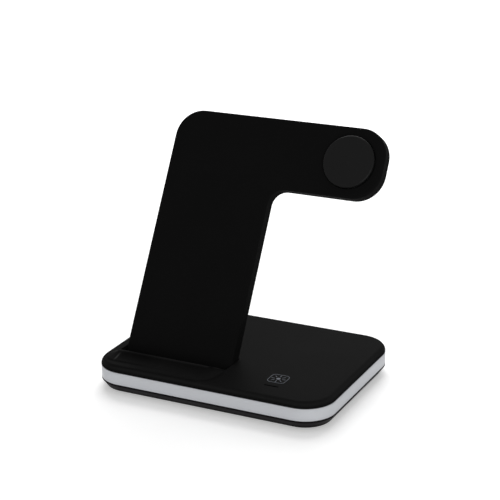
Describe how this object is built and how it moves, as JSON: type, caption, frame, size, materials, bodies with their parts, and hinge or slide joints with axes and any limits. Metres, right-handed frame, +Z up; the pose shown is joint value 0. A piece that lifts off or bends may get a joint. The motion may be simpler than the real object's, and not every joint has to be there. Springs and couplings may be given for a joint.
{
  "type": "wireless charging station",
  "caption": "Black desktop wireless charging station with a low base, a milky light band, a leaning upright with a side arm and round puck, and a lipped trough.",
  "frame": {"origin": "centre of the whole part's footprint, on the surface it stands on", "axes": "+X to the viewer's right along the base's front edge, towards the arm's free end; +Y from the base's front edge to its back, the way the stand leans; +Z up"},
  "size_m": [0.1372, 0.1038, 0.135],
  "materials": {
    "shell_black": "fine-grained satin black moulding",
    "shell_grey": "fine-grained dark grey moulding",
    "band_white": "milky translucent light guide",
    "led_white": "white flexible strip with yellowish lamps",
    "steel": "zinc-plated steel",
    "rubber": "matte rubber",
    "copper": "enamelled copper litz wire",
    "ferrite": "dark grey sintered ferrite sheet",
    "board_green": "green solder mask",
    "ribbon": "flat flexible cable",
    "puck_black": "smooth black moulding",
    "magnet": "nickel-plated magnet"
  },
  "bodies": {
    "root": {"base_top_shell": "shell_black", "base_bottom_shell": "shell_grey", "light_band": "band_white", "led_strip": "led_white", "ballast_plate": "steel", "rubber_feet": "rubber", "case_screws": "steel", "rest_pad": "rubber", "stand_front_cover": "shell_black", "stand_back_cover": "shell_black", "stand_bracket": "steel", "bracket_screws": "steel", "coil_lower": "copper", "coil_upper": "copper", "coil_ferrite": "ferrite", "stand_board": "board_green", "ribbon_cable": "ribbon", "puck_housing": "puck_black", "puck_coil": "copper", "puck_magnet": "magnet", "puck_ferrite": "ferrite", "puck_lead": "ribbon", "pad_coil": "copper", "pad_ferrite": "ferrite", "main_board": "board_green", "board_screws": "steel", "usb_c_socket": "steel", "touch_board": "board_green"}
  },
  "joints": []
}
